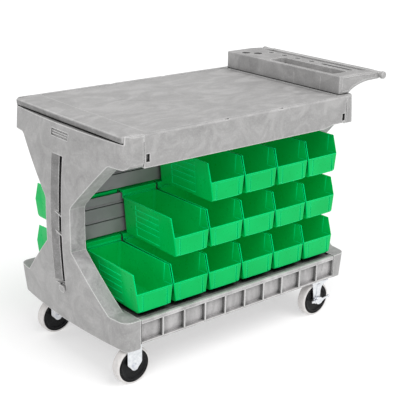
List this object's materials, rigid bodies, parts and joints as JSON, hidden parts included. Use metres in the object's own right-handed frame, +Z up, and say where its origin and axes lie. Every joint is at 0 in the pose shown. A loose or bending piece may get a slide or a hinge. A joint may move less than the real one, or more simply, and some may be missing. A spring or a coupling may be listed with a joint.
{
  "type": "tool cart",
  "caption": "Structural-foam tool cart with a flat deck, hour-glass end frames, louvred divider, hang-on parts bins, tool tray with grab bar and braked swivel casters.",
  "frame": {"origin": "on the floor under the middle of the overall box", "axes": "+X along the length towards the grab bar, +Z up, -Y the side with its bins staggered towards the grab bar"},
  "size_m": [1.1546, 0.622, 0.86],
  "materials": {
    "foam_grey": "swirl-mottled light grey structural foam, satin",
    "louvre_paint": "grey enamel",
    "bin_green": "glossy moulded green",
    "zinc": "bright zinc plate",
    "hub_black": "black moulded hub",
    "tyre_grey": "non-marking light grey tread"
  },
  "bodies": {
    "cart": {"deck_top": "foam_grey", "handle_tray": "foam_grey", "end_frame_rear": "foam_grey", "end_frame_handle": "foam_grey", "base_deck": "foam_grey", "louvre_panel": "louvre_paint", "caster_rear_near_fork": "zinc", "caster_rear_near_axle": "zinc", "caster_rear_far_fork": "zinc", "caster_rear_far_axle": "zinc", "caster_handle_near_plate": "zinc", "caster_handle_far_plate": "zinc"},
    "bin_near_1_1": {"bin_near_1_1": "bin_green"},
    "bin_near_1_2": {"bin_near_1_2": "bin_green"},
    "bin_near_1_3": {"bin_near_1_3": "bin_green"},
    "bin_near_1_4": {"bin_near_1_4": "bin_green"},
    "bin_near_1_5": {"bin_near_1_5": "bin_green"},
    "bin_near_1_6": {"bin_near_1_6": "bin_green"},
    "bin_near_2_1": {"bin_near_2_1": "bin_green"},
    "bin_near_2_2": {"bin_near_2_2": "bin_green"},
    "bin_near_2_3": {"bin_near_2_3": "bin_green"},
    "bin_near_2_4": {"bin_near_2_4": "bin_green"},
    "bin_near_2_5": {"bin_near_2_5": "bin_green"},
    "bin_near_3_1": {"bin_near_3_1": "bin_green"},
    "bin_near_3_2": {"bin_near_3_2": "bin_green"},
    "bin_near_3_3": {"bin_near_3_3": "bin_green"},
    "bin_near_3_4": {"bin_near_3_4": "bin_green"},
    "bin_far_1_1": {"bin_far_1_1": "bin_green"},
    "bin_far_1_2": {"bin_far_1_2": "bin_green"},
    "bin_far_1_3": {"bin_far_1_3": "bin_green"},
    "bin_far_1_4": {"bin_far_1_4": "bin_green"},
    "bin_far_1_5": {"bin_far_1_5": "bin_green"},
    "bin_far_1_6": {"bin_far_1_6": "bin_green"},
    "bin_far_2_1": {"bin_far_2_1": "bin_green"},
    "bin_far_2_2": {"bin_far_2_2": "bin_green"},
    "bin_far_2_3": {"bin_far_2_3": "bin_green"},
    "bin_far_2_4": {"bin_far_2_4": "bin_green"},
    "bin_far_2_5": {"bin_far_2_5": "bin_green"},
    "bin_far_3_1": {"bin_far_3_1": "bin_green"},
    "bin_far_3_2": {"bin_far_3_2": "bin_green"},
    "bin_far_3_3": {"bin_far_3_3": "bin_green"},
    "bin_far_3_4": {"bin_far_3_4": "bin_green"},
    "caster_rear_near_wheel": {"caster_rear_near_hub": "hub_black", "caster_rear_near_tyre": "tyre_grey"},
    "caster_rear_far_wheel": {"caster_rear_far_hub": "hub_black", "caster_rear_far_tyre": "tyre_grey"},
    "caster_handle_near_swivel": {"caster_handle_near_fork": "zinc", "caster_handle_near_axle": "zinc"},
    "caster_handle_near_wheel": {"caster_handle_near_hub": "hub_black", "caster_handle_near_tyre": "tyre_grey"},
    "caster_handle_near_pedal": {"caster_handle_near_brake": "zinc"},
    "caster_handle_far_swivel": {"caster_handle_far_fork": "zinc", "caster_handle_far_axle": "zinc"},
    "caster_handle_far_wheel": {"caster_handle_far_hub": "hub_black", "caster_handle_far_tyre": "tyre_grey"},
    "caster_handle_far_pedal": {"caster_handle_far_brake": "zinc"}
  },
  "joints": [
    {"name": "bin_near_1_1_lift", "type": "slide", "parent": "cart", "child": "bin_near_1_1", "axis": [0, 0, 1], "range_m": [0, 0.006]},
    {"name": "bin_near_1_2_lift", "type": "slide", "parent": "cart", "child": "bin_near_1_2", "axis": [0, 0, 1], "range_m": [0, 0.006]},
    {"name": "bin_near_1_3_lift", "type": "slide", "parent": "cart", "child": "bin_near_1_3", "axis": [0, 0, 1], "range_m": [0, 0.006]},
    {"name": "bin_near_1_4_lift", "type": "slide", "parent": "cart", "child": "bin_near_1_4", "axis": [0, 0, 1], "range_m": [0, 0.006]},
    {"name": "bin_near_1_5_lift", "type": "slide", "parent": "cart", "child": "bin_near_1_5", "axis": [0, 0, 1], "range_m": [0, 0.006]},
    {"name": "bin_near_1_6_lift", "type": "slide", "parent": "cart", "child": "bin_near_1_6", "axis": [0, 0, 1], "range_m": [0, 0.006]},
    {"name": "bin_near_2_1_lift", "type": "slide", "parent": "cart", "child": "bin_near_2_1", "axis": [0, 0, 1], "range_m": [0, 0.006]},
    {"name": "bin_near_2_2_lift", "type": "slide", "parent": "cart", "child": "bin_near_2_2", "axis": [0, 0, 1], "range_m": [0, 0.006]},
    {"name": "bin_near_2_3_lift", "type": "slide", "parent": "cart", "child": "bin_near_2_3", "axis": [0, 0, 1], "range_m": [0, 0.006]},
    {"name": "bin_near_2_4_lift", "type": "slide", "parent": "cart", "child": "bin_near_2_4", "axis": [0, 0, 1], "range_m": [0, 0.006]},
    {"name": "bin_near_2_5_lift", "type": "slide", "parent": "cart", "child": "bin_near_2_5", "axis": [0, 0, 1], "range_m": [0, 0.006]},
    {"name": "bin_near_3_1_lift", "type": "slide", "parent": "cart", "child": "bin_near_3_1", "axis": [0, 0, 1], "range_m": [0, 0.006]},
    {"name": "bin_near_3_2_lift", "type": "slide", "parent": "cart", "child": "bin_near_3_2", "axis": [0, 0, 1], "range_m": [0, 0.006]},
    {"name": "bin_near_3_3_lift", "type": "slide", "parent": "cart", "child": "bin_near_3_3", "axis": [0, 0, 1], "range_m": [0, 0.006]},
    {"name": "bin_near_3_4_lift", "type": "slide", "parent": "cart", "child": "bin_near_3_4", "axis": [0, 0, 1], "range_m": [0, 0.006]},
    {"name": "bin_far_1_1_lift", "type": "slide", "parent": "cart", "child": "bin_far_1_1", "axis": [0, 0, 1], "range_m": [0, 0.006]},
    {"name": "bin_far_1_2_lift", "type": "slide", "parent": "cart", "child": "bin_far_1_2", "axis": [0, 0, 1], "range_m": [0, 0.006]},
    {"name": "bin_far_1_3_lift", "type": "slide", "parent": "cart", "child": "bin_far_1_3", "axis": [0, 0, 1], "range_m": [0, 0.006]},
    {"name": "bin_far_1_4_lift", "type": "slide", "parent": "cart", "child": "bin_far_1_4", "axis": [0, 0, 1], "range_m": [0, 0.006]},
    {"name": "bin_far_1_5_lift", "type": "slide", "parent": "cart", "child": "bin_far_1_5", "axis": [0, 0, 1], "range_m": [0, 0.006]},
    {"name": "bin_far_1_6_lift", "type": "slide", "parent": "cart", "child": "bin_far_1_6", "axis": [0, 0, 1], "range_m": [0, 0.006]},
    {"name": "bin_far_2_1_lift", "type": "slide", "parent": "cart", "child": "bin_far_2_1", "axis": [0, 0, 1], "range_m": [0, 0.006]},
    {"name": "bin_far_2_2_lift", "type": "slide", "parent": "cart", "child": "bin_far_2_2", "axis": [0, 0, 1], "range_m": [0, 0.006]},
    {"name": "bin_far_2_3_lift", "type": "slide", "parent": "cart", "child": "bin_far_2_3", "axis": [0, 0, 1], "range_m": [0, 0.006]},
    {"name": "bin_far_2_4_lift", "type": "slide", "parent": "cart", "child": "bin_far_2_4", "axis": [0, 0, 1], "range_m": [0, 0.006]},
    {"name": "bin_far_2_5_lift", "type": "slide", "parent": "cart", "child": "bin_far_2_5", "axis": [0, 0, 1], "range_m": [0, 0.006]},
    {"name": "bin_far_3_1_lift", "type": "slide", "parent": "cart", "child": "bin_far_3_1", "axis": [0, 0, 1], "range_m": [0, 0.006]},
    {"name": "bin_far_3_2_lift", "type": "slide", "parent": "cart", "child": "bin_far_3_2", "axis": [0, 0, 1], "range_m": [0, 0.006]},
    {"name": "bin_far_3_3_lift", "type": "slide", "parent": "cart", "child": "bin_far_3_3", "axis": [0, 0, 1], "range_m": [0, 0.006]},
    {"name": "bin_far_3_4_lift", "type": "slide", "parent": "cart", "child": "bin_far_3_4", "axis": [0, 0, 1], "range_m": [0, 0.006]},
    {"name": "caster_rear_near_spin", "type": "hinge", "parent": "cart", "child": "caster_rear_near_wheel", "pos_m": [-0.4955, -0.272, 0.0615], "axis": [0, 1, 0], "continuous": true},
    {"name": "caster_rear_far_spin", "type": "hinge", "parent": "cart", "child": "caster_rear_far_wheel", "pos_m": [-0.4955, 0.171, 0.0615], "axis": [0, 1, 0], "continuous": true},
    {"name": "caster_handle_near_swivel_turn", "type": "hinge", "parent": "cart", "child": "caster_handle_near_swivel", "pos_m": [0.3425, -0.272, 0.13], "axis": [0, 0, 1], "continuous": true},
    {"name": "caster_handle_near_spin", "type": "hinge", "parent": "caster_handle_near_swivel", "child": "caster_handle_near_wheel", "pos_m": [0.3035, -0.272, 0.0615], "axis": [0, 1, 0], "continuous": true},
    {"name": "caster_handle_near_brake_press", "type": "hinge", "parent": "caster_handle_near_swivel", "child": "caster_handle_near_pedal", "pos_m": [0.3035, -0.272, 0.0615], "axis": [0, 1, 0], "range_deg": [0, 15]},
    {"name": "caster_handle_far_swivel_turn", "type": "hinge", "parent": "cart", "child": "caster_handle_far_swivel", "pos_m": [0.3425, 0.171, 0.13], "axis": [0, 0, 1], "continuous": true},
    {"name": "caster_handle_far_spin", "type": "hinge", "parent": "caster_handle_far_swivel", "child": "caster_handle_far_wheel", "pos_m": [0.3035, 0.171, 0.0615], "axis": [0, 1, 0], "continuous": true},
    {"name": "caster_handle_far_brake_press", "type": "hinge", "parent": "caster_handle_far_swivel", "child": "caster_handle_far_pedal", "pos_m": [0.3035, 0.171, 0.0615], "axis": [0, 1, 0], "range_deg": [0, 15]}
  ]
}
